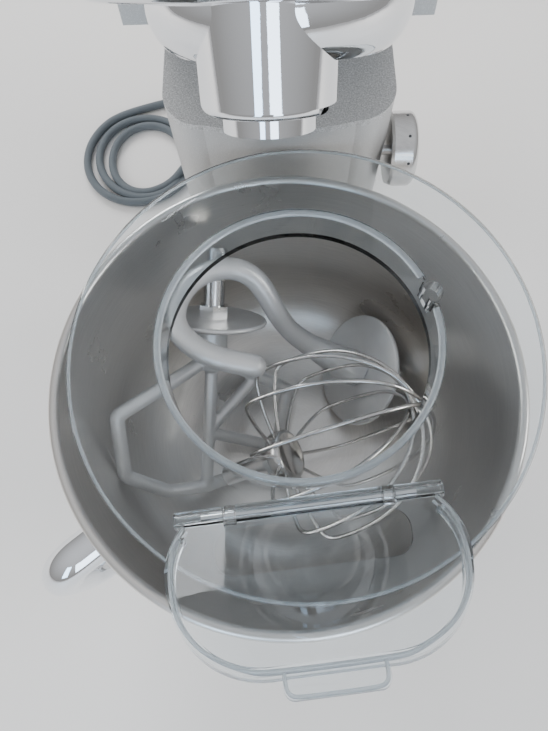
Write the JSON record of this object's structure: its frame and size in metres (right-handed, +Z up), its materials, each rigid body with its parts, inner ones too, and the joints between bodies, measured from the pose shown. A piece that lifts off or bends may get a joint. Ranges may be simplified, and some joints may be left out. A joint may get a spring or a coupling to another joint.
{
  "type": "stand mixer",
  "caption": "Tilt-head planetary stand mixer with the head raised over a steel bowl, clear splash guard with a hinged feed lid, and beater, dough hook and whisk lying in the bowl",
  "frame": {"origin": "on the table plane below the centre of the bowl, on the axis the bowl and the lowered head share", "axes": "+Z up, +Y from the bowl towards the column, +X towards the side with the speed knob"},
  "size_m": [0.3031, 0.4516, 0.418],
  "materials": {
    "silver_paint": "satin silver paint with a fine metallic fleck",
    "chrome": "bright chrome plate",
    "brushed_steel": "brushed stainless steel",
    "clear_plastic": "clear moulded plastic",
    "cast_aluminium": "fine cast aluminium",
    "bright_steel": "polished steel",
    "gear_steel": "oiled gear steel",
    "grey_plastic": "matt grey moulding",
    "black_rubber": "moulded rubber",
    "slate_cord": "slate grey flexible sheath",
    "brass": "bare brass",
    "motor_iron": "laminated motor iron",
    "copper_winding": "enamelled copper wire",
    "carbon": "pressed carbon",
    "circuit": "green circuit board and black components"
  },
  "bodies": {
    "base": {"base_casting": "silver_paint", "base_screws": "bright_steel", "base_cover": "grey_plastic", "rubber_feet": "black_rubber", "bowl_seat": "grey_plastic", "column_shell": "silver_paint", "column_cap": "silver_paint", "hinge_bracket": "gear_steel", "hinge_pin": "bright_steel", "control_board": "circuit", "speed_pot": "circuit", "latch_spring": "bright_steel", "strain_relief": "slate_cord", "cord_lead": "slate_cord", "cord_tail": "slate_cord", "cord_coil": "slate_cord", "plug_body": "slate_cord", "plug_pins": "brass"},
    "head": {"head_housing": "silver_paint", "head_cover": "silver_paint", "head_screws": "bright_steel", "hub_ring": "chrome", "ring_gear": "gear_steel", "gearbox_casing": "cast_aluminium", "main_bearings": "bright_steel", "drive_belt": "black_rubber", "motor_stator": "motor_iron", "field_coils": "copper_winding", "carbon_brushes": "carbon", "slow_outlet": "chrome"},
    "planet": {"planet_hub": "chrome", "main_shaft": "bright_steel", "main_gear": "gear_steel"},
    "tool_drive": {"tool_socket": "chrome", "planet_pinion": "gear_steel"},
    "idler": {"idler_gear": "gear_steel"},
    "input_wheel": {"driven_pulley": "grey_plastic"},
    "motor_rotor": {"armature": "motor_iron", "commutator": "brass", "drive_pulley": "grey_plastic", "cooling_fan": "grey_plastic"},
    "slow_drive": {"slow_outlet_drive": "gear_steel"},
    "slow_cover": {"slow_outlet_cover": "silver_paint"},
    "fast_cover": {"fast_outlet_cover": "silver_paint"},
    "knob": {"speed_knob": "brushed_steel"},
    "lever": {"release_lever": "grey_plastic"},
    "bolt": {"latch_bolt": "bright_steel"},
    "bowl": {"bowl_shell": "brushed_steel", "bowl_foot": "brushed_steel", "bowl_handle": "chrome"},
    "guard": {"splash_guard": "clear_plastic", "lid_pin": "bright_steel"},
    "lid": {"feed_lid": "clear_plastic"},
    "beater": {"k_beater": "cast_aluminium", "k_beater_shank": "bright_steel"},
    "hook": {"dough_hook": "cast_aluminium", "dough_hook_shank": "bright_steel"},
    "whisk": {"whisk_wires": "bright_steel", "whisk_hub": "cast_aluminium", "whisk_shank": "bright_steel"}
  },
  "joints": [
    {"name": "head_tilt", "type": "hinge", "parent": "base", "child": "head", "pos_m": [0, 0.194, 0.144], "axis": [-1, 0, 0], "range_deg": [-37, 0]},
    {"name": "planet_spin", "type": "hinge", "parent": "head", "child": "planet", "pos_m": [0, 0.07277, 0.30548], "axis": [0, 0.6018, 0.7986], "continuous": true},
    {"name": "tool_spin", "type": "hinge", "parent": "planet", "child": "tool_drive", "pos_m": [-0.00347, 0.05102, 0.30934], "axis": [0, 0.6018, 0.7986], "continuous": true},
    {"name": "idler_spin", "type": "hinge", "parent": "head", "child": "idler", "pos_m": [0, 0.13315, 0.29754], "axis": [0, 0.6018, 0.7986], "continuous": true},
    {"name": "input_spin", "type": "hinge", "parent": "head", "child": "input_wheel", "pos_m": [0, 0.11244, 0.33819], "axis": [0, 0.6018, 0.7986], "continuous": true},
    {"name": "motor_spin", "type": "hinge", "parent": "head", "child": "motor_rotor", "pos_m": [0, 0.18506, 0.25842], "axis": [0, 0.6018, 0.7986], "continuous": true},
    {"name": "slow_outlet_spin", "type": "hinge", "parent": "head", "child": "slow_drive", "pos_m": [0, 0.05975, 0.3879], "axis": [0, 0.7986, -0.6018], "continuous": true},
    {"name": "slow_cover_pull", "type": "slide", "parent": "head", "child": "slow_cover", "axis": [0, -0.7986, 0.6018], "range_m": [0, 0.015]},
    {"name": "fast_cover_pull", "type": "slide", "parent": "head", "child": "fast_cover", "axis": [0, 0.6018, 0.7986], "range_m": [0, 0.015]},
    {"name": "speed_knob_turn", "type": "hinge", "parent": "base", "child": "knob", "pos_m": [0.07, 0.153, 0.14], "axis": [1, 0, 0], "range_deg": [-30, 240]},
    {"name": "release_lever_push", "type": "hinge", "parent": "base", "child": "lever", "pos_m": [0, 0.2282, 0.09], "axis": [-1, 0, 0], "range_deg": [0, 12], "stiffness_Nm_per_rad": 0.3, "springref_deg": -8.59},
    {"name": "latch_bolt_slide", "type": "slide", "parent": "base", "child": "bolt", "axis": [0, 0, -1], "range_m": [0, 0.0051], "deforming": ["latch_spring"]},
    {"name": "bowl_lift", "type": "slide", "parent": "base", "child": "bowl", "axis": [0, 0, 1], "range_m": [0, 0.035]},
    {"name": "guard_lift", "type": "slide", "parent": "bowl", "child": "guard", "axis": [0, 0, 1], "range_m": [0, 0.025]},
    {"name": "lid_swing", "type": "hinge", "parent": "guard", "child": "lid", "pos_m": [0.00808, -0.05755, 0.184], "axis": [-0.9945, -0.1045, 0], "range_deg": [-26, 70]},
    {"name": "beater_lift", "type": "slide", "parent": "bowl", "child": "beater", "axis": [0, 0, 1], "range_m": [0, 0.026]},
    {"name": "hook_lift", "type": "slide", "parent": "bowl", "child": "hook", "axis": [0, 0, 1], "range_m": [0, 0.026]},
    {"name": "whisk_lift", "type": "slide", "parent": "bowl", "child": "whisk", "axis": [0, 0, 1], "range_m": [0, 0.026]}
  ],
  "couplings": [
    {"joint": "tool_spin", "follows": "planet_spin", "ratio": -3},
    {"joint": "idler_spin", "follows": "planet_spin", "ratio": -3.0769},
    {"joint": "input_spin", "follows": "planet_spin", "ratio": 10.94},
    {"joint": "motor_spin", "follows": "planet_spin", "ratio": 41.33},
    {"joint": "slow_outlet_spin", "follows": "planet_spin", "ratio": -4.318},
    {"joint": "latch_bolt_slide", "follows": "release_lever_push", "m_per_rad": 0.023873},
    {"joint": "beater_lift", "follows": "guard_lift", "ratio": 1},
    {"joint": "hook_lift", "follows": "guard_lift", "ratio": 1},
    {"joint": "whisk_lift", "follows": "guard_lift", "ratio": 1}
  ]
}
